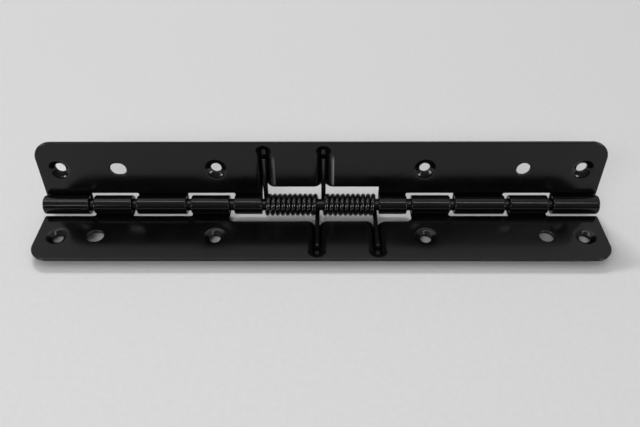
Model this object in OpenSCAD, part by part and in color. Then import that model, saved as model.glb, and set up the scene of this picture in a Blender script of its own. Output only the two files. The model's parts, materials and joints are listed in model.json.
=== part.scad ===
// Spring-loaded strip hinge: two pressed leaves on one pin, with two torsion springs at the middle.
// Units are millimetres. X runs along the pin, the fixed leaf lies flat towards -Y, +Z is up.
// The origin is the middle of the fixed leaf's screw row, on the plane that its dimples bed on.

/* [Build] */
// which piece to draw

/* [Leaves] */
// length of the hinge along its pin
length = 254; // [225:1:300]
// pin axis to the free edge of a leaf
leaf_reach = 31; // [29:0.5:45]
// sheet thickness
sheet_t = 1.6; // [1.2:0.1:1.8]
// radius of the free corners
corner_r = 8.5; // [3:0.5:10]
// angle between the leaves at rest
opening = 98; // [75:1:130]

/* [Barrel] */
// pin diameter
pin_d = 5.6; // [4.8:0.1:6.2]
// radial running clearance of the pin
pin_clear = 0.05; // [0.02:0.01:0.1]
// pin end below the end of the barrel
pin_recess = 0.5; // [0:0.1:2]
// chamfer on the pin ends
pin_chamfer = 0.5; // [0.2:0.1:1]
// width of a knuckle on the fixed leaf
fixed_knuckle_w = 17.5; // [14:0.5:20]
// side gap between neighbouring knuckles
side_gap = 2.2; // [0.5:0.1:3]
// width of the inner knuckles on the swing leaf
swing_inner_w = 12.7; // [8:0.1:16]
// width of the middle knuckles on the swing leaf
swing_middle_w = 22.8; // [16:0.1:25]
// clearance between a knuckle and the leaf edge that faces it
notch_gap = 0.9; // [0.5:0.05:2]
// angle below level at which a rolled knuckle ends
curl_end = 30; // [20:1:32]

/* [Spring window] */
// end clearance between the coils and the window in the swing leaf
window_end_gap = 0.4; // [0.1:0.1:2]
// clearance between the coils and the window edge
window_gap = 2.55; // [2:0.05:4]
// corner radius of the window in the fixed leaf
window_corner_r = 2.6; // [1:0.1:2.7]
// width of the relief beside a channel that opens at a window end
relief = 0.4; // [0.2:0.1:0.8]

/* [Springs] */
// wire diameter
wire_d = 2.2; // [1.5:0.1:2.4]
// radial clearance between the coil and the pin
coil_clear = 0.2; // [0.1:0.05:0.6]
// full turns of the coil
turns = 10; // [6:1:12]
// gap between neighbouring turns
turn_gap = 0.13; // [0.05:0.01:0.6]
// gap between the two springs
spring_gap = 0.6; // [0.3:0.1:2]
// pin axis to the end of a leg
leg_reach = 22.5; // [14:0.5:24]
// clearance between a leg and the floor of its channel
leg_clear = 0.25; // [0.1:0.05:0.4]

/* [Leg channels] */
// width of a channel's flat floor
channel_floor = 1.2; // [1:0.1:1.6]
// bend radius on the outside of a pressed rim
bend_r = 0.2; // [0.1:0.1:0.6]
// end of a leg to the centre of its channel's round end
channel_end_gap = 2.9; // [1:0.1:3.5]

/* [Screw holes] */
// pin axis to the row of holes
hole_row = 17.3; // [16:0.1:20]
// screw hole diameter
screw_d = 4.5; // [4:0.1:5.5]
// depth of the dimple around a screw hole
dimple_depth = 1.5; // [1:0.1:2.2]
// width of the flat floor around a screw hole
dimple_land = 0.4; // [0.1:0.1:0.8]
// inner screw hole to the middle of the hinge
inner_screw_x = 47; // [40:0.5:55]
// outer screw hole to the end of the hinge
outer_screw_in = 9.5; // [9:0.5:14]

/* [Locating holes] */
// width of the locating holes and slots
locator_d = 6.1; // [4:0.1:8]
// extra length of a locating slot over its width
slot_run = 1.2; // [0.4:0.1:3]
// locating holes of the fixed leaf to its outer screw holes
fixed_locator_in = 17.1; // [12:0.1:30]
// locating holes of the swing leaf to its outer screw holes
swing_locator_in = 26.5; // [12:0.1:40]

/* [Hidden] */
$fn = 64;
paint = [0.06, 0.06, 0.065];
half_l = length / 2;
pin_r = pin_d / 2;
bore_r = pin_r + pin_clear;
barrel_r = bore_r + sheet_t;
wire_r = wire_d / 2;
coil_r = pin_r + coil_clear + wire_r;
coil_outer_r = coil_r + wire_r;
// depth of the channels, which lets a leg lie tangent to its coil
channel_depth = coil_outer_r + leg_clear - bore_r;
pin_y = hole_row;
pin_z = barrel_r + dimple_depth;
// a coil runs from the leg on the swing leaf to the leg on the fixed leaf
coil_sweep = 180 - opening + 360 * turns;
leg_spacing = coil_sweep / 360 * (wire_d + turn_gap);
inner_leg_x = spring_gap / 2 + wire_r;
outer_leg_x = inner_leg_x + leg_spacing;
channel_reach = leg_reach + channel_end_gap;
// a leaf edge faces a knuckle beside the half chord that the inside of the leaf cuts from it
notch_reach = sqrt(barrel_r ^ 2 - bore_r ^ 2) + notch_gap;
window_half = outer_leg_x + wire_r + window_end_gap;
window_reach = coil_outer_r + window_gap;
outer_screw_x = half_l - outer_screw_in;
fixed_locator_x = outer_screw_x - fixed_locator_in;
swing_locator_x = outer_screw_x - swing_locator_in;
knuckle_half = fixed_knuckle_w / 2;
notch_half = knuckle_half + side_gap;
// centres of the fixed leaf's knuckles
inner_knuckle_x = window_half + swing_inner_w + notch_half;
outer_knuckle_x = inner_knuckle_x + swing_middle_w + 2 * notch_half;
// overlaps of a knuckle and of a pressed rim with the leaf
root_lap = 1;
rim_lap = 0.5;
// knuckle spans on the +X side, mirrored to the other
fixed_spans = [
    [inner_knuckle_x - knuckle_half, inner_knuckle_x + knuckle_half],
    [outer_knuckle_x - knuckle_half, outer_knuckle_x + knuckle_half]
];
swing_spans = [
    [window_half, inner_knuckle_x - notch_half],
    [inner_knuckle_x + notch_half, outer_knuckle_x - notch_half],
    [outer_knuckle_x + notch_half, half_l]
];
// pressed flanks, as how far 1 along the flank goes [along, up]: steep in a channel, gentle in a dimple
steep = [3 / 5, 4 / 5];
gentle = [4 / 5, 3 / 5];
rim_r = sheet_t + bend_r;
// half widths of a channel and a dimple where their rims run into the leaf
channel_half = channel_floor / 2 + rim_run(channel_depth, steep);
dimple_floor_r = screw_d / 2 + dimple_land;
dimple_r = dimple_floor_r + rim_run(dimple_depth, gentle);
wire_sides = 10;
steps_per_turn = 18;

// everything below is drawn about the pin axis: a leaf reaches towards +Y, +Z is the inside of the hinge

module rolled_section() {
    far = 2 * barrel_r;
    difference() {
        circle(barrel_r);
        circle(bore_r);
        polygon([[0, 0], [far * cos(curl_end), -far * sin(curl_end)], [far, -far], [0, -far]]);
    }
    translate([0, -barrel_r]) square([notch_reach + root_lap, sheet_t]);
}

module knuckle(span) {
    translate([span[0], 0, 0])
        rotate([90, 0, 90])
            linear_extrude(span[1] - span[0]) rolled_section();
}

module knuckles(spans) {
    for (span = spans) {
        knuckle(span);
        knuckle([-span[1], -span[0]]);
    }
}

module leaf_outline() {
    translate([-half_l, notch_reach]) square([length, leaf_reach - notch_reach - corner_r]);
    translate([corner_r - half_l, notch_reach]) square([length - 2 * corner_r, leaf_reach - notch_reach]);
    for (side = [-1, 1])
        translate([side * (half_l - corner_r), leaf_reach - corner_r]) circle(corner_r);
}

module channel_outline() {
    translate([-channel_half, 0]) square([2 * channel_half, channel_reach]);
    translate([0, channel_reach]) circle(channel_half);
}

module slot_outline() {
    for (side = [-1, 1])
        translate([side * slot_run / 2, 0]) circle(locator_d / 2);
    square([slot_run, locator_d], center = true);
}

module screw_places() {
    for (x = [-outer_screw_x, -inner_screw_x, inner_screw_x, outer_screw_x])
        translate([x, hole_row]) children();
}

// pressed sections: X out from the middle, Y up from the inside face
function mitre(flank) = flank[1] / (1 + flank[0]);
function rim_run(depth, flank) = flank[0] / flank[1] * depth + mitre(flank) * rim_r;
function rim_end(half, r, flank) = [half - flank[1] * r, flank[0] * r - rim_r];
// a point within the bent rim, to which a flank runs on
function rim_inside(half, flank) = rim_end(half, (rim_r + bend_r) / 2, flank) + rim_lap * flank;
function flipped(p) = [-p[0], p[1]];

module rim_section(half, flank) {
    translate([half, -rim_r])
        intersection() {
            difference() {
                circle(rim_r);
                circle(bend_r);
            }
            polygon(2 * rim_r * [[0, 0], [0, 1], [-flank[1], 1], [-flank[1], flank[0]]]);
        }
    translate([half, -sheet_t]) square([rim_lap, sheet_t]);
}

module channel_section() {
    floor_half = channel_floor / 2;
    low_half = floor_half + mitre(steep) * sheet_t;
    upper = rim_end(channel_half, rim_r, steep);
    lower = rim_end(channel_half, bend_r, steep);
    inside = rim_inside(channel_half, steep);
    polygon([
        [-floor_half, -channel_depth],
        [floor_half, -channel_depth],
        upper,
        inside,
        lower,
        [low_half, -channel_depth - sheet_t],
        [-low_half, -channel_depth - sheet_t],
        flipped(lower),
        flipped(inside),
        flipped(upper)
    ]);
    rim_section(channel_half, steep);
    mirror([1, 0]) rim_section(channel_half, steep);
}

module channel() {
    translate([0, channel_reach, -bore_r]) {
        rotate([90, 0, 0]) linear_extrude(channel_reach - window_reach) channel_section();
        rotate_extrude(angle = 180)
            intersection() {
                channel_section();
                translate([0, -2 * channel_half]) square(4 * channel_half);
            }
    }
}

module dimple_section() {
    polygon([
        [screw_d / 2, -dimple_depth],
        [dimple_floor_r, -dimple_depth],
        rim_end(dimple_r, rim_r, gentle),
        rim_inside(dimple_r, gentle),
        rim_end(dimple_r, bend_r, gentle),
        [dimple_floor_r + mitre(gentle) * sheet_t, -dimple_depth - sheet_t],
        [screw_d / 2, -dimple_depth - sheet_t]
    ]);
    rim_section(dimple_r, gentle);
}

module leaf(spans, channels, locator_x) {
    translate([0, 0, -barrel_r])
        linear_extrude(sheet_t)
            difference() {
                leaf_outline();
                children();
                for (x = channels) translate([x, 0]) channel_outline();
                screw_places() circle(dimple_r);
                translate([-locator_x, hole_row]) slot_outline();
                translate([locator_x, hole_row]) circle(locator_d / 2);
            }
    knuckles(spans);
    for (x = channels) translate([x, 0, 0]) channel();
    translate([0, 0, -bore_r]) screw_places() rotate_extrude() dimple_section();
}

module swing_window() {
    wide = outer_leg_x + channel_half + relief;
    translate([-window_half, 0]) square([2 * window_half, window_reach]);
    translate([-wide, 0]) square([wide, window_reach]);
}

module fixed_window() {
    half = inner_knuckle_x - knuckle_half;
    square_w = 2 * (half - window_corner_r);
    translate([-half, 0]) square([2 * half, window_reach - window_corner_r]);
    translate([-square_w / 2, 0]) square([square_w, window_reach]);
    for (side = [-1, 1])
        translate([side * square_w / 2, window_reach - window_corner_r]) circle(window_corner_r);
}

// a spring is one wire: leg along the swing leaf, coil, leg along the fixed leaf
function coil_angle(i, steps) = 90 - opening - coil_sweep * i / steps;
function around(a) = [0, cos(a), sin(a)];
function wire_ring(centre, out) = [
    for (k = [0 : wire_sides - 1])
        let (a = 360 * (k + 0.5) / wire_sides)
            centre + wire_r * (cos(a) * out + sin(a) * [1, 0, 0])
];

module spring(x) {
    steps = round(steps_per_turn * coil_sweep / 360);
    swing_way = [0, -cos(opening), sin(opening)];
    coil = [for (i = [0 : steps]) let (out = around(coil_angle(i, steps)))
        [[x + leg_spacing * i / steps, 0, 0] + coil_r * out, out]];
    path = concat(
        [[coil[0][0] + leg_reach * swing_way, coil[0][1]]],
        coil,
        [[coil[steps][0] - [0, leg_reach, 0], coil[steps][1]]]
    );
    last = len(path) - 1;
    points = [for (p = path) each wire_ring(p[0], p[1])];
    sides = [for (i = [0 : last - 1], k = [0 : wire_sides - 1])
        let (a = i * wire_sides + k, b = i * wire_sides + (k + 1) % wire_sides)
            each [[a, b, a + wire_sides], [b, b + wire_sides, a + wire_sides]]];
    ends = [
        [for (k = [wire_sides - 1 : -1 : 0]) k],
        [for (k = [0 : wire_sides - 1]) last * wire_sides + k]
    ];
    polyhedron(points, concat(sides, ends));
}

module at_pin() {
    translate([0, pin_y, pin_z]) children();
}

module fixed_leaf() {
    color(paint)
        at_pin()
            mirror([0, 1, 0])
                leaf(fixed_spans, [-inner_leg_x, outer_leg_x], fixed_locator_x) fixed_window();
}

module swing_leaf() {
    color(paint)
        at_pin()
            rotate([180 - opening, 0, 0])
                leaf(swing_spans, [-outer_leg_x, inner_leg_x], swing_locator_x) swing_window();
}

module hinge_pin() {
    straight = length - 2 * pin_recess - 2 * pin_chamfer;
    color(paint)
        at_pin()
            rotate([0, 90, 0]) {
                cylinder(r = pin_r, h = straight, center = true);
                for (side = [0, 1])
                    mirror([0, 0, side])
                        translate([0, 0, straight / 2])
                            cylinder(r1 = pin_r, r2 = pin_r - pin_chamfer, h = pin_chamfer);
            }
}

module left_spring() {
    color(paint) at_pin() spring(-outer_leg_x);
}

module right_spring() {
    color(paint) at_pin() spring(inner_leg_x);
}

fixed_leaf();
swing_leaf();
hinge_pin();
left_spring();
right_spring();
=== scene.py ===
"""Spring-loaded strip hinge: two pressed leaves, a pin and two torsion springs, in gloss black."""
import json
import math

import bpy
import numpy as np
from mathutils import Matrix, Vector
from mathutils.geometry import delaunay_2d_cdt


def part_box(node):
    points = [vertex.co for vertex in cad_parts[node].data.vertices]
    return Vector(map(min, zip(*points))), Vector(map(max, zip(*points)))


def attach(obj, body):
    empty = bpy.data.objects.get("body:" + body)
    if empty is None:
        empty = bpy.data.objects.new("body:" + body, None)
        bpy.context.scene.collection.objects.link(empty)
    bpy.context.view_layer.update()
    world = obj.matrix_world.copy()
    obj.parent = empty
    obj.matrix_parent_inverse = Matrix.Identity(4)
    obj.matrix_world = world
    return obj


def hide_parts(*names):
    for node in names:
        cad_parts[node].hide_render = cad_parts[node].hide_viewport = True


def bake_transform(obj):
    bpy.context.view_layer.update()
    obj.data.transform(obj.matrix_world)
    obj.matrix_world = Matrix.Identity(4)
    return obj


MM = 0.001

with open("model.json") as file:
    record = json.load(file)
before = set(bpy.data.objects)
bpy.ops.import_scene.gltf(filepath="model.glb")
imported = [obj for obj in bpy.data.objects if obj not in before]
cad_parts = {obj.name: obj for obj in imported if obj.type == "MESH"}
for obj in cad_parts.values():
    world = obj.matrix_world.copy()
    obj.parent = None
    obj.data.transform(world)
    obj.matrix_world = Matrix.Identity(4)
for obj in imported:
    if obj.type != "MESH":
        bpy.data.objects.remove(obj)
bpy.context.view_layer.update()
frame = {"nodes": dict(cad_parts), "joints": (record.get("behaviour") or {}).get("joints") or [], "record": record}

# Sizes from the frame, in millimetres
mounts = {m["name"]: m for m in frame["record"]["mounts"]}
pin_at = Vector(frame["joints"][0]["pos_m"]) / MM
fixed_low, fixed_high = (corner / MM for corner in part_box("fixed_leaf"))
pin_low, pin_high = (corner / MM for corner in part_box("hinge_pin"))
swing_axis = mounts["swing_inner_screws"]["axis"]
FOLD = math.atan2(-swing_axis[1], swing_axis[2])
HALF_LENGTH = fixed_high.x
REACH = pin_at.y - fixed_low.y
BARREL_R = fixed_high.y - pin_at.y
PIN_R = (pin_high.z - pin_low.z) / 2
PIN_CLEAR = 0.05
BORE_R = PIN_R + PIN_CLEAR
SHEET = BARREL_R - BORE_R
ROLL_R = BARREL_R - SHEET / 2
DIMPLE_DEPTH = pin_at.z - BARREL_R
CHANNEL_DEPTH = DIMPLE_DEPTH - fixed_low.z
HOLE_ROW = pin_at.y
SCREW_R = mounts["fixed_inner_screws"]["dims"]["hole_r_mm"]
SCREW_X = [
    mounts["fixed_inner_screws"]["dims"]["spacing_x_mm"] / 2,
    mounts["fixed_outer_screws"]["dims"]["spacing_x_mm"] / 2,
]

# Sizes that the frame doesn't give, in millimetres: the springs
WIRE_R = 1.1
COIL_CLEAR = 0.2
COIL_R = PIN_R + COIL_CLEAR + WIRE_R
WHOLE_TURNS = 10
TURNS = WHOLE_TURNS + FOLD / math.tau
TURN_GAP = 0.13
HALF_SPRING_GAP = 0.3
INNER_LEG_X = HALF_SPRING_GAP + WIRE_R
OUTER_LEG_X = INNER_LEG_X + TURNS * (2 * WIRE_R + TURN_GAP)
LEG_REACH = 22.5
WIRE_TIP = 0.25

# The leaves' outlines
CORNER_R = 8.5
END_CORNER_R = 0.9
NOTCH_GAP = 0.9
NOTCH_REACH = math.sqrt(BARREL_R**2 - BORE_R**2) + NOTCH_GAP
NOTCH_CORNER_R = 0.7
WINDOW_GAP = 2.55
WINDOW_REACH = COIL_R + WIRE_R + WINDOW_GAP
WINDOW_END_GAP = 0.4
WINDOW_HALF = OUTER_LEG_X + WIRE_R + WINDOW_END_GAP
WINDOW_CORNER_R = 2.6
WINDOW_TIP_R = 0.3
CURL_END = math.radians(30)
TONGUE_END = -(math.tau - 2 * CURL_END) * ROLL_R
TONGUE_CORNER_R = 0.9
LOCATOR_R = 3.05
SLOT_RUN = 1.2
FIXED_LOCATOR_IN = 17.1
SWING_LOCATOR_IN = 26.5
FIXED_LOCATOR_X = SCREW_X[1] - FIXED_LOCATOR_IN
SWING_LOCATOR_X = SCREW_X[1] - SWING_LOCATOR_IN
HOLE_EASE = 0.15

# The knuckles, and the gaps between them
FIXED_KNUCKLE = 17.5
SWING_INNER = 12.7
SWING_MIDDLE = 22.8
SIDE_GAP = 2.2

# The pressed channels, which fade out towards the knuckles, and the dimples
CHANNEL_FLOOR = 0.9
CHANNEL_END_GAP = 2.9
CHANNEL_REACH = LEG_REACH + CHANNEL_END_GAP
FADE_FROM = 2.5
FADE_PAST = 0.8
FADE_TO = WINDOW_REACH + FADE_PAST
DIMPLE_LAND = 0.2

# Rounded edges, with a thin lap where they meet the faces
EDGE_R = 0.5
EDGE_LAP = 0.12
EDGE_IN = EDGE_R + EDGE_LAP
EDGE_STEPS = 4

# Painted highlight: a light grey streak laid along a channel's right rim, in place of the rim's highlight line
RIM_HIGHLIGHT_FROM = 8.3
RIM_HIGHLIGHT_FADE_IN = 1.5
RIM_HIGHLIGHT_TO = 24.5
RIM_HIGHLIGHT_FADE_OUT = 2.5
RIM_HIGHLIGHT_WIDTH = 1.0
RIM_HIGHLIGHT_PAST = 0.1
LEFT_RIM_HIGHLIGHT = 0.4
RIGHT_RIM_HIGHLIGHT = 0.9

# Mesh steps
ROLL_STEP = 0.24
ARC_STEP = 0.4
EDGE_STEP = 4

# Knuckle spans on the +X side, mirrored to the other
first_fixed = WINDOW_HALF + SWING_INNER + SIDE_GAP
second_fixed = first_fixed + FIXED_KNUCKLE + SWING_MIDDLE + 2 * SIDE_GAP
FIXED_SPANS = [
    (first_fixed, first_fixed + FIXED_KNUCKLE),
    (second_fixed, second_fixed + FIXED_KNUCKLE),
]
SWING_SPANS = [
    (WINDOW_HALF, first_fixed - SIDE_GAP),
    (FIXED_SPANS[0][1] + SIDE_GAP, second_fixed - SIDE_GAP),
    (FIXED_SPANS[1][1] + SIDE_GAP, HALF_LENGTH),
]


# Pressed forms: height and slope at a distance from their middle line
class Pressing:
    def __init__(self, floor_half, floor_r, rim_r, depth, along):
        """A step of 1 on the flank goes outwards by along, and rises by what that leaves."""
        self.depth = depth
        self.along = along
        self.up = math.sqrt(1 - along**2)
        mitre = self.up / (1 + along)
        self.floor_r = floor_r
        self.rim_r = rim_r
        self.low = floor_half + mitre * SHEET / 2
        high = self.low + along / self.up * depth
        self.floor_from = self.low - mitre * floor_r
        self.flank_from = self.low + along * mitre * floor_r
        self.rim_from = high - along * mitre * rim_r
        self.rim_end = high + mitre * rim_r

    def height(self, s):
        """Height of the sheet at s from the middle, below the leaf's own level, and its slope."""
        in_floor = np.clip(s - self.floor_from, 0, self.up * self.floor_r)
        in_rim = np.clip(self.rim_end - s, 0, self.up * self.rim_r)
        floor_drop = np.sqrt(self.floor_r**2 - in_floor**2)
        rim_drop = np.sqrt(self.rim_r**2 - in_rim**2)
        steepness = self.up / self.along
        in_low, in_flank = s < self.flank_from, s < self.rim_from
        flank = (s - self.low) * steepness - self.depth
        h = np.where(in_flank, flank, rim_drop - self.rim_r)
        h = np.where(in_low, self.floor_r - floor_drop - self.depth, h)
        slope = np.where(in_flank, steepness, in_rim / rim_drop)
        slope = np.where(in_low, in_floor / floor_drop, slope)
        return h, slope

    def stations(self):
        """Distances from the middle at which the mesh follows the form."""
        floor = np.linspace(self.floor_from, self.flank_from, 6)
        flank = np.linspace(self.flank_from, self.rim_from, 4)[1:-1]
        rim = np.linspace(self.rim_from, self.rim_end, 8)
        return np.concatenate([floor, flank, rim])


CHANNEL = Pressing(CHANNEL_FLOOR, floor_r=0.9, rim_r=2.8, depth=CHANNEL_DEPTH, along=0.6)
DIMPLE = Pressing(SCREW_R + DIMPLE_LAND, floor_r=0.5, rim_r=2.2, depth=DIMPLE_DEPTH, along=0.8)
# Mesh lines beside a channel's middle, with one past its rim where the painted rim highlight has ended
CHANNEL_LINES = np.append(CHANNEL.stations(), CHANNEL.rim_end + 2 * RIM_HIGHLIGHT_PAST * RIM_HIGHLIGHT_WIDTH)


# Flat pattern of a leaf: x along the pin, q away from it, negative where the sheet is rolled
def rounded(corners):
    """Polyline through (x, q, radius) corners, each turned on an arc of its radius."""
    points = []
    count = len(corners)
    for i, (x, q, radius) in enumerate(corners):
        here = np.array([x, q])
        if radius == 0:
            points.append(here)
            continue
        before = np.array(corners[i - 1][:2]) - here
        after = np.array(corners[(i + 1) % count][:2]) - here
        before /= np.linalg.norm(before)
        after /= np.linalg.norm(after)
        half = math.acos(np.clip(before @ after, -1, 1)) / 2
        run = radius / math.tan(half)
        inward = (before + after) / np.linalg.norm(before + after)
        centre = here + inward * radius / math.sin(half)
        start = here + before * run - centre
        end = here + after * run - centre
        a0 = math.atan2(start[1], start[0])
        turn = (math.atan2(end[1], end[0]) - a0 + math.pi) % math.tau - math.pi
        steps = max(4, int(abs(turn) * radius / ARC_STEP))
        for k in range(steps + 1):
            a = a0 + turn * k / steps
            points.append(centre + radius * np.array([math.cos(a), math.sin(a)]))
    return np.array(points)


def refined(loop):
    """The loop with no long steps."""
    points = []
    for a, b in zip(loop, np.roll(loop, -1, axis=0)):
        length = np.linalg.norm(b - a)
        parts = max(1, math.ceil(length / EDGE_STEP - 1e-6))
        points.extend(a + (b - a) * k / parts for k in range(parts))
    return np.array(points)


def inset(loop, distance):
    """The loop moved into the sheet, which lies on its left."""
    before = loop - np.roll(loop, 1, axis=0)
    after = np.roll(loop, -1, axis=0) - loop
    before /= np.linalg.norm(before, axis=1)[:, None]
    after /= np.linalg.norm(after, axis=1)[:, None]
    n0 = np.stack([-before[:, 1], before[:, 0]], axis=1)
    n1 = np.stack([-after[:, 1], after[:, 0]], axis=1)
    share = 1 + (n0 * n1).sum(axis=1)
    return loop + distance * (n0 + n1) / share[:, None]


def mouth(x_channel, half):
    """Points of a window edge where a channel opens, as far as the window reaches."""
    xs = np.concatenate([x_channel - CHANNEL_LINES[::-1], [x_channel], x_channel + CHANNEL_LINES])
    return [(x, WINDOW_REACH, 0) for x in xs if abs(x) < half - WINDOW_TIP_R]


def roll_stations():
    """Places along a tongue, from where the roll begins to just before the tongue's end."""
    return np.arange(0, TONGUE_END + TONGUE_CORNER_R, -ROLL_STEP)


def tongue(x0, x1, left_level, right_level):
    """Corners of a tongue that is rolled into a knuckle.

    A level is where the leaf edge beside it runs.
    """
    down = [(x0, q, 0) for q in roll_stations()]
    up = [(x1, q, 0) for q in roll_stations()[::-1]]
    end = [(x0, TONGUE_END, TONGUE_CORNER_R), (x1, TONGUE_END, TONGUE_CORNER_R)]
    left = [] if left_level is None else [(x0, left_level, NOTCH_CORNER_R)]
    right = [] if right_level is None else [(x1, right_level, NOTCH_CORNER_R)]
    return left + down + end + up + right


def outline(spans, middle):
    """Outer loop of a leaf, counter-clockwise, with its tongues."""
    ends_rolled = spans[-1][1] > HALF_LENGTH - SIDE_GAP
    corners = []
    for inner, outer in reversed(spans[1:]):
        beside = None if outer > HALF_LENGTH - SIDE_GAP else NOTCH_REACH
        corners += tongue(-outer, -inner, beside, NOTCH_REACH)
    inner, outer = spans[0]
    corners += tongue(-outer, -inner, NOTCH_REACH, None)
    corners += middle
    corners += tongue(inner, outer, None, NOTCH_REACH)
    for inner, outer in spans[1:]:
        beside = None if outer > HALF_LENGTH - SIDE_GAP else NOTCH_REACH
        corners += tongue(inner, outer, NOTCH_REACH, beside)
    far = [(HALF_LENGTH, REACH, CORNER_R), (-HALF_LENGTH, REACH, CORNER_R)]
    if not ends_rolled:
        near = [(side * HALF_LENGTH, NOTCH_REACH, END_CORNER_R) for side in (1, -1)]
        far = [near[0], *far, near[1]]
    return refined(rounded(corners + far))


def circle(x, q, radius, run=0.0, steps=64):
    """Clockwise loop of a round hole, or of a slot that is run longer than it is wide."""
    points = []
    for k in range(steps):
        a = -math.tau * (k + 0.5) / steps
        side = math.copysign(run / 2, math.cos(a))
        points.append((x + side + radius * math.cos(a), q + radius * math.sin(a)))
    return np.array(points)


def bent(x, q, t, channels):
    """Place of a point of the flat pattern, t up from the middle of the sheet, about the pin."""
    height = np.zeros_like(x)
    tilt_x = np.zeros_like(x)
    tilt_q = np.zeros_like(x)
    forms = [(xc, CHANNEL, CHANNEL_REACH) for xc in channels]
    forms += [(side * sx, DIMPLE, None) for sx in SCREW_X for side in (-1, 1)]
    for xc, form, round_from in forms:
        dx = x - xc
        dq = np.maximum(q - round_from, 0) if round_from else q - HOLE_ROW
        s = np.hypot(dx, dq)
        inside = (s < form.rim_end) & (q > FADE_FROM)
        h, slope = form.height(s)
        safe = np.maximum(s, 1e-9)
        part = np.clip((q - FADE_FROM) / (FADE_TO - FADE_FROM), 0, 1)
        fade = part**2 * (3 - 2 * part)
        fade_slope = 6 * part * (1 - part) / (FADE_TO - FADE_FROM)
        height = np.where(inside, h * fade, height)
        tilt_x = np.where(inside, fade * slope * dx / safe, tilt_x)
        tilt_q = np.where(inside, fade * slope * dq / safe + fade_slope * h, tilt_q)
    norm = np.sqrt(1 + tilt_x**2 + tilt_q**2)
    flat = np.stack(
        [x - t * tilt_x / norm, q - t * tilt_q / norm, height - ROLL_R + t / norm], axis=1
    )
    turn = np.minimum(q, 0) / ROLL_R
    r = ROLL_R - t
    rolled = np.stack([x, r * np.sin(turn), -r * np.cos(turn)], axis=1)
    return np.where((q < 0)[:, None], rolled, flat)


def edge_rows():
    """Steps round the edge of the sheet: distance in from the edge, height from the middle."""
    rows = [(EDGE_IN, SHEET / 2)]
    for k in range(EDGE_STEPS + 1):
        a = math.pi / 2 * k / EDGE_STEPS
        rows.append((EDGE_R * (1 - math.sin(a)), SHEET / 2 - EDGE_R * (1 - math.cos(a))))
    return rows + [(d, -t) for d, t in reversed(rows)]


def inside_loops(points, loops):
    """True where a point lies in the sheet: inside an odd number of loops."""
    odd = np.zeros(len(points), bool)
    px, py = points[:, 0][:, None], points[:, 1][:, None]
    for loop in loops:
        a, b = loop, np.roll(loop, -1, axis=0)
        spans = (a[:, 1] > py) != (b[:, 1] > py)
        rise = np.where(b[:, 1] == a[:, 1], 1, b[:, 1] - a[:, 1])
        cross = a[:, 0] + (py - a[:, 1]) * (b[:, 0] - a[:, 0]) / rise
        odd ^= ((spans & (px < cross)).sum(axis=1) % 2).astype(bool)
    return odd


def face_pattern(loops, spans, channels):
    """Triangles of a leaf's flat pattern, with lines that follow the pressed forms."""
    points, edges = [], []

    def add(line, closed):
        first = len(points)
        points.extend(line)
        last = len(points) - 1
        edges.extend((i, i + 1) for i in range(first, last))
        if closed:
            edges.append((last, first))

    for loop in loops:
        add(loop, True)
    start = WINDOW_REACH + EDGE_IN
    root = np.linspace(FADE_FROM, start, 12)
    for xc in channels:
        ups = np.linspace(start, CHANNEL_REACH, 24)
        for s in CHANNEL_LINES:
            if abs(xc) + s > WINDOW_HALF + EDGE_IN and spans[0][0] == WINDOW_HALF:
                add([(math.copysign(abs(xc) + s, xc), q) for q in root[:-1]], False)
            turn = [
                (xc - s * math.cos(a), CHANNEL_REACH + s * math.sin(a))
                for a in np.linspace(0, math.pi, 33)
            ]
            line = [(xc - s, q) for q in ups[:-1]] + turn + [(xc + s, q) for q in ups[-2::-1]]
            add(line, False)
        add([(xc, q) for q in ups], False)
    for inner, outer in spans:
        for q in roll_stations():
            add([(inner + EDGE_IN, q), (outer - EDGE_IN, q)], False)
            add([(EDGE_IN - outer, q), (-inner - EDGE_IN, q)], False)
    for side in (-1, 1):
        for sx in SCREW_X:
            for s in DIMPLE.stations():
                if s > SCREW_R + HOLE_EASE + EDGE_IN + EDGE_LAP:
                    add(circle(side * sx, HOLE_ROW, s), True)
    cut = delaunay_2d_cdt([Vector(p) for p in points], edges, [], 0, 1e-4)
    verts = np.array([tuple(v) for v in cut[0]])
    tris = np.array(cut[2])
    keep = inside_loops(verts[tris].mean(axis=1), loops)
    home = {source: i for i, sources in enumerate(cut[3]) for source in sources}
    rings, first = [], 0
    for loop in loops:
        rings.append([home[i] for i in range(first, first + len(loop))])
        first += len(loop)
    return verts, tris[keep], rings


def to_fixed(p):
    """Points about the pin, moved to the fixed leaf's place."""
    return np.stack([p[:, 0], pin_at.y - p[:, 1], pin_at.z + p[:, 2]], axis=1)


def to_swing(p):
    """Points about the pin, turned to the swing leaf's place."""
    c, s = math.cos(FOLD), math.sin(FOLD)
    y = pin_at.y + c * p[:, 1] - s * p[:, 2]
    z = pin_at.z + s * p[:, 1] + c * p[:, 2]
    return np.stack([p[:, 0], y, z], axis=1)


def mesh_object(name, verts, faces, attributes=None):
    mesh = bpy.data.meshes.new(name)
    mesh.from_pydata([tuple(v) for v in verts * MM], [], faces)
    for key, values in (attributes or {}).items():
        mesh.attributes.new(key, "FLOAT", "POINT").data.foreach_set("value", values)
    mesh.validate()
    mesh.shade_smooth()
    obj = bpy.data.objects.new(name, mesh)
    bpy.context.scene.collection.objects.link(obj)
    return obj


def painted_rim_highlight(x, q, rim_highlight_strengths):
    """How strongly a painted highlight, a light grey streak, lies along the right rims of channels.

    The last argument gives its strength at each channel's place.
    """
    share = np.zeros_like(x)
    begin = np.clip((q - RIM_HIGHLIGHT_FROM) / RIM_HIGHLIGHT_FADE_IN, 0, 1)
    along = begin * np.clip((RIM_HIGHLIGHT_TO - q) / RIM_HIGHLIGHT_FADE_OUT, 0, 1)
    for xc, strength in rim_highlight_strengths.items():
        across = (x - xc - CHANNEL.rim_end) / RIM_HIGHLIGHT_WIDTH + 1
        share += np.where(across < 1 + RIM_HIGHLIGHT_PAST, np.clip(across, 0, 1), 0) * along * strength
    return share


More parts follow.
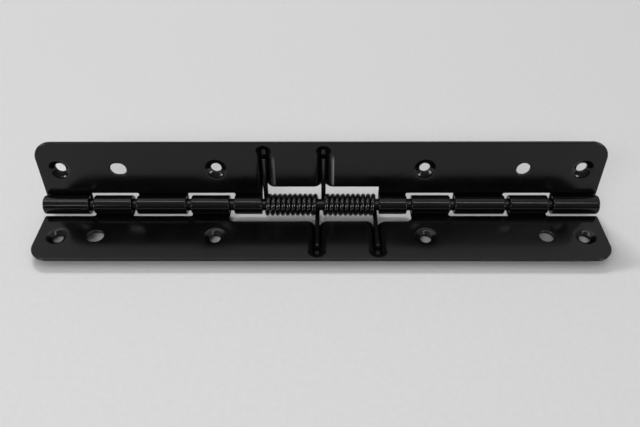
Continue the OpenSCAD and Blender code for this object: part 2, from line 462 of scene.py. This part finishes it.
def leaf(name, spans, channels, locator_x, middle, place, flip, rim_highlight_strengths):
    """A pressed sheet leaf with rolled knuckles and rounded edges all round."""
    rims = [outline(spans, middle)]
    for side in (-1, 1):
        for sx in SCREW_X:
            rims.append(circle(side * sx, HOLE_ROW, SCREW_R + HOLE_EASE))
    rims.append(circle(locator_x, HOLE_ROW, LOCATOR_R))
    rims.append(circle(-locator_x, HOLE_ROW, LOCATOR_R, SLOT_RUN))
    rows = edge_rows()
    pattern, tris, borders = face_pattern([inset(rim, rows[0][0]) for rim in rims], spans, channels)
    flat = [np.column_stack([pattern, np.full(len(pattern), t)]) for t in (SHEET / 2, -SHEET / 2)]
    faces = [tuple(t) for t in tris]
    faces += [tuple(t[::-1] + len(pattern)) for t in tris]
    worn = [np.zeros(2 * len(pattern))]
    used = 2 * len(pattern)
    for rim, border in zip(rims, borders):
        count = len(rim)
        rings = [border]
        for d, t in rows[1:-1]:
            flat.append(np.column_stack([inset(rim, d), np.full(count, t)]))
            worn.append(np.full(count, 1 - d / EDGE_R))
            rings.append(list(range(used, used + count)))
            used += count
        rings.append([i + len(pattern) for i in border])
        for upper, lower in zip(rings, rings[1:]):
            for i in range(count):
                j = (i + 1) % count
                faces.append((upper[j], upper[i], lower[i], lower[j]))
    flat = np.concatenate(flat)
    verts = place(bent(flat[:, 0], flat[:, 1], flat[:, 2], channels))
    if flip:
        faces = [f[::-1] for f in faces]
    # Painted highlight along the right rims of the channels, kept in a mesh attribute
    rim_highlight_share = painted_rim_highlight(flat[:, 0], flat[:, 1], rim_highlight_strengths)
    return mesh_object(name, verts, faces, {"edge": np.concatenate(worn), "rim_highlight_share": rim_highlight_share})


swing_middle = [(-WINDOW_HALF, q, 0) for q in np.linspace(FADE_FROM, WINDOW_REACH - 0.5, 10)]
swing_middle += [(-WINDOW_HALF, WINDOW_REACH, WINDOW_TIP_R)]
swing_middle += mouth(-OUTER_LEG_X, WINDOW_HALF) + mouth(INNER_LEG_X, WINDOW_HALF)
swing_middle += [(WINDOW_HALF, WINDOW_REACH, WINDOW_TIP_R)]
fixed_middle = [(-FIXED_SPANS[0][0], WINDOW_REACH, WINDOW_CORNER_R)]
fixed_middle += mouth(-INNER_LEG_X, FIXED_SPANS[0][0]) + mouth(OUTER_LEG_X, FIXED_SPANS[0][0])
fixed_middle += [(FIXED_SPANS[0][0], WINDOW_REACH, WINDOW_CORNER_R)]

fixed_leaf = leaf(
    "fixed_leaf_sheet", FIXED_SPANS, [-INNER_LEG_X, OUTER_LEG_X], FIXED_LOCATOR_X,
    fixed_middle, to_fixed, True, {},
)
# Only the swing leaf's channels get the painted rim highlight
swing_leaf = leaf(
    "swing_leaf_sheet", SWING_SPANS, [-OUTER_LEG_X, INNER_LEG_X], SWING_LOCATOR_X,
    swing_middle, to_swing, False, {-OUTER_LEG_X: LEFT_RIM_HIGHLIGHT, INNER_LEG_X: RIGHT_RIM_HIGHLIGHT},
)


# Torsion springs: one round wire each, from the leg on the swing leaf to the leg on the fixed leaf
def wire(name, x_start):
    sides, per_turn = 20, 48
    steps = round(TURNS * per_turn)
    start_angle = FOLD - math.pi / 2
    angles = start_angle - TURNS * math.tau * np.arange(steps + 1) / steps
    xs = x_start + (OUTER_LEG_X - INNER_LEG_X) * np.arange(steps + 1) / steps
    outs = np.stack([np.zeros(steps + 1), np.cos(angles), np.sin(angles)], axis=1)
    coil = np.stack([xs, COIL_R * outs[:, 1], COIL_R * outs[:, 2]], axis=1)
    swing_way = np.array([0, math.cos(FOLD), math.sin(FOLD)])
    fixed_way = np.array([0, -1.0, 0])
    reach = [LEG_REACH, LEG_REACH - WIRE_TIP, LEG_REACH - 2 * WIRE_TIP, LEG_REACH / 2, 1.2, 0.6]
    lead = [coil[0] + r * swing_way for r in reach]
    tail = [coil[-1] + r * fixed_way for r in reversed(reach)]
    path = np.concatenate([lead, coil, tail])
    out = np.concatenate([[outs[0]] * len(lead), outs, [outs[-1]] * len(tail)])
    along = np.gradient(path, axis=0)
    along /= np.linalg.norm(along, axis=1)[:, None]
    across = np.cross(along, out)
    across /= np.linalg.norm(across, axis=1)[:, None]
    out = np.cross(across, along)
    radius = np.full(len(path), WIRE_R)
    radius[0] = radius[-1] = WIRE_R - WIRE_TIP
    around = math.tau * np.arange(sides) / sides
    verts = (
        path[:, None, :]
        + (radius[:, None] * np.cos(around))[:, :, None] * out[:, None, :]
        + (radius[:, None] * np.sin(around))[:, :, None] * across[:, None, :]
    ).reshape(-1, 3)
    verts += np.array([0, pin_at.y, pin_at.z])
    faces = []
    for i in range(len(path) - 1):
        for k in range(sides):
            j = (k + 1) % sides
            faces.append((i * sides + k, i * sides + j, (i + 1) * sides + j, (i + 1) * sides + k))
    faces.append(tuple(range(sides - 1, -1, -1)))
    faces.append(tuple(range((len(path) - 1) * sides, len(path) * sides)))
    return mesh_object(name, verts, faces)


left_spring = wire("left_spring_wire", -OUTER_LEG_X)
right_spring = wire("right_spring_wire", INNER_LEG_X)


# Materials
def node(tree, kind, **inputs):
    """A shader node with constant values on its inputs, an underscore standing for a space."""
    made = tree.nodes.new(kind)
    for key, value in inputs.items():
        made.inputs[key.replace("_", " ")].default_value = value
    return made


def new_material(name):
    """A material, its node tree and its shader."""
    material = bpy.data.materials.new(name)
    material.use_nodes = True
    return material, material.node_tree, material.node_tree.nodes["Principled BSDF"]


def two_tone(tree, low_at, low, high_at, high):
    """A ramp from one colour to another."""
    ramp = tree.nodes.new("ShaderNodeValToRGB")
    first, last = ramp.color_ramp.elements
    first.position, first.color = low_at, (*low, 1)
    last.position, last.color = high_at, (*high, 1)
    return ramp


def paint(name, base, tint, rough_low, rough_high, peel, ior):
    """Gloss black paint with orange peel and faint haze, thin on edges, with a painted highlight streak on some
    rims.
    """
    material, tree, bsdf = new_material(name)
    link = tree.links.new
    coords = tree.nodes.new("ShaderNodeTexCoord")
    haze = node(tree, "ShaderNodeTexNoise", Scale=55.0, Detail=4.0, Roughness=0.6)
    fine = node(tree, "ShaderNodeTexNoise", Scale=900.0, Detail=2.0, Roughness=0.5)
    specks = node(tree, "ShaderNodeTexNoise", Scale=2600.0, Detail=1.0, Roughness=0.4)
    for texture in (haze, fine, specks):
        link(coords.outputs["Object"], texture.inputs["Vector"])
    edge = tree.nodes.new("ShaderNodeAttribute")
    edge.attribute_name = "edge"
    ramp = two_tone(tree, 0.35, base, 0.75, tint)
    link(haze.outputs["Fac"], ramp.inputs["Fac"])
    thin = tree.nodes.new("ShaderNodeMix")
    thin.data_type = "RGBA"
    thin.inputs["B"].default_value = (0.015, 0.0155, 0.016, 1)
    worn = tree.nodes.new("ShaderNodeMath")
    worn.operation = "MULTIPLY"
    link(edge.outputs["Fac"], worn.inputs[0])
    link(haze.outputs["Fac"], worn.inputs[1])
    link(worn.outputs[0], thin.inputs["Factor"])
    link(ramp.outputs["Color"], thin.inputs["A"])
    # Painted highlight: light grey mixed into the base colour where the rim-highlight attribute is set
    rim_highlight_share = tree.nodes.new("ShaderNodeAttribute")
    rim_highlight_share.attribute_name = "rim_highlight_share"
    rim_highlight_mix = tree.nodes.new("ShaderNodeMix")
    rim_highlight_mix.data_type = "RGBA"
    rim_highlight_mix.inputs["B"].default_value = (0.26, 0.26, 0.265, 1)
    link(rim_highlight_share.outputs["Fac"], rim_highlight_mix.inputs["Factor"])
    link(thin.outputs["Result"], rim_highlight_mix.inputs["A"])
    link(rim_highlight_mix.outputs["Result"], bsdf.inputs["Base Color"])
    limits = {"From_Min": 0.3, "From_Max": 0.7, "To_Min": rough_low, "To_Max": rough_high}
    rough = node(tree, "ShaderNodeMapRange", **limits)
    link(haze.outputs["Fac"], rough.inputs["Value"])
    link(rough.outputs["Result"], bsdf.inputs["Roughness"])
    bump = node(tree, "ShaderNodeBump", Strength=peel, Distance=0.00002)
    link(fine.outputs["Fac"], bump.inputs["Height"])
    dust = node(tree, "ShaderNodeBump", Strength=peel * 0.6, Distance=0.00001)
    link(specks.outputs["Fac"], dust.inputs["Height"])
    link(bump.outputs["Normal"], dust.inputs["Normal"])
    link(dust.outputs["Normal"], bsdf.inputs["Normal"])
    bsdf.inputs["IOR"].default_value = ior
    return material


leaf_paint = paint(
    "leaf_gloss_black", (0.0015, 0.0015, 0.0016), (0.003, 0.003, 0.0031),
    rough_low=0.12, rough_high=0.18, peel=0.3, ior=1.39,
)
wire_paint = paint(
    "wire_gloss_black", (0.002, 0.002, 0.002), (0.004, 0.004, 0.004),
    rough_low=0.1, rough_high=0.15, peel=0.25, ior=1.52,
)


def table_top(name):
    """Pale grey table with a faint grain."""
    material, tree, bsdf = new_material(name)
    link = tree.links.new
    coords = tree.nodes.new("ShaderNodeTexCoord")
    grain = node(tree, "ShaderNodeTexNoise", Scale=420.0, Detail=5.0, Roughness=0.65)
    link(coords.outputs["Object"], grain.inputs["Vector"])
    ramp = two_tone(tree, 0.3, (0.592, 0.588, 0.584), 0.7, (0.619, 0.615, 0.611))
    link(grain.outputs["Fac"], ramp.inputs["Fac"])
    link(ramp.outputs["Color"], bsdf.inputs["Base Color"])
    bsdf.inputs["Roughness"].default_value = 0.6
    bsdf.inputs["Specular IOR Level"].default_value = 0.2
    return material


def dress(obj, material):
    obj.data.materials.clear()
    obj.data.materials.append(material)


dress(fixed_leaf, leaf_paint)
dress(swing_leaf, leaf_paint)
dress(left_spring, wire_paint)
dress(right_spring, wire_paint)
dress(frame["nodes"]["hinge_pin"], leaf_paint)

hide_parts("fixed_leaf")
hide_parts("swing_leaf")
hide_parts("left_spring")
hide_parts("right_spring")
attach(fixed_leaf, "fixed_side")
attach(swing_leaf, "swing_side")
for spring, x_start in ((left_spring, -OUTER_LEG_X), (right_spring, INNER_LEG_X)):
    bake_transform(spring)

# Table, light and camera
bpy.ops.mesh.primitive_grid_add(x_subdivisions=2, y_subdivisions=2, size=8)
table = bpy.context.object
table.name = "table"
table.location.z = fixed_low.z * MM
dress(table, table_top("pale_table"))

# A soft room, brighter overhead and behind the object than in front of it
world = bpy.data.worlds.new("soft_room")
bpy.context.scene.world = world
world.use_nodes = True
sky = world.node_tree
direction = sky.nodes.new("ShaderNodeSeparateXYZ")
sky.links.new(sky.nodes.new("ShaderNodeTexCoord").outputs["Generated"], direction.inputs[0])
levels = two_tone(sky, 0, (0.1, 0.1, 0.1), 1, (0.73, 0.735, 0.75))
for position, level in ((0.26, 0.24), (0.45, 0.4), (0.63, 0.58), (0.77, 0.66)):
    levels.color_ramp.elements.new(position).color = (0.97 * level, 0.98 * level, level, 1)
sky.links.new(direction.outputs["Z"], levels.inputs["Fac"])
sky.links.new(levels.outputs["Color"], sky.nodes["Background"].inputs["Color"])
behind = node(sky, "ShaderNodeMapRange", From_Min=-0.6, From_Max=0.1, To_Min=0.5)
sky.links.new(direction.outputs["Y"], behind.inputs["Value"])
sky.links.new(behind.outputs["Result"], sky.nodes["Background"].inputs["Strength"])


centre = pin_at * MM


def lamp(name, offset, size, power, target=centre):
    """A rectangular lamp, set off from the middle of the hinge and turned to its target."""
    data = bpy.data.lights.new(name, "AREA")
    data.shape = "RECTANGLE"
    data.size, data.size_y = size
    data.energy = power
    obj = bpy.data.objects.new(name, data)
    obj.location = centre + Vector(offset)
    obj.rotation_euler = (target - obj.location).to_track_quat("-Z", "Y").to_euler()
    bpy.context.scene.collection.objects.link(obj)
    return obj


overhead_strip = lamp("overhead_strip", (-0.1, -0.24, 0.97), (1.6, 0.08), 2.8)
overhead_strip.visible_diffuse = False
box_floor = Vector((-0.3, 0.45, 0))
lamp("overhead_box", box_floor + Vector((0, 0, 1.15)), (1.6, 0.6), 1.6, centre + box_floor)
BACK_ELEVATION = math.radians(42.6)
back_way = Vector((-0.2, math.cos(BACK_ELEVATION), math.sin(BACK_ELEVATION)))
back_strip = lamp("back_strip", 3.5 * back_way, (1.2, 0.12), 70.0)
back_strip.visible_glossy = False
front_fill = lamp("front_fill", (-0.45, -0.9, 0.74), (0.9, 0.15), 6.0)
front_fill.visible_glossy = False
for side in (-1, 1):
    side_fill = lamp("side_fill", (0.9 * side, -0.75, 0.36), (0.3, 0.3), 4.0)
    side_fill.visible_diffuse = False
lamp("front_lamp", (-0.54, -0.82, 0.56), (0.1, 0.08), 0.2)

# The photo's camera, from a fit to the leaf edges, holes and knuckle ends
PICTURE_WIDTH_PX = 640
FOCAL_PX = 596.3
SENSOR = 36
ELEVATION = math.radians(44.5)
AZIMUTH = 0.0101
DISTANCE = 0.2755
AIM_RIGHT = -0.0002
AIM_UP = -0.00413
level_way = Vector((math.sin(AZIMUTH), -math.cos(AZIMUTH), 0))
away = math.cos(ELEVATION) * level_way + Vector((0, 0, math.sin(ELEVATION)))
right = Vector((1, 0, 0))
right = (right - right.dot(away) * away).normalized()
up = away.cross(right)
aim = centre + AIM_RIGHT * right + AIM_UP * up
camera_data = bpy.data.cameras.new("camera")
camera_data.sensor_width = SENSOR
camera_data.lens = SENSOR * FOCAL_PX / PICTURE_WIDTH_PX
camera_data.clip_start = 0.01
camera = bpy.data.objects.new("camera", camera_data)
turned = Matrix((right, up, away)).transposed().to_4x4()
camera.matrix_world = Matrix.Translation(aim + DISTANCE * away) @ turned
bpy.context.scene.collection.objects.link(camera)
bpy.context.scene.camera = camera
bpy.context.scene.view_settings.view_transform = "Standard"
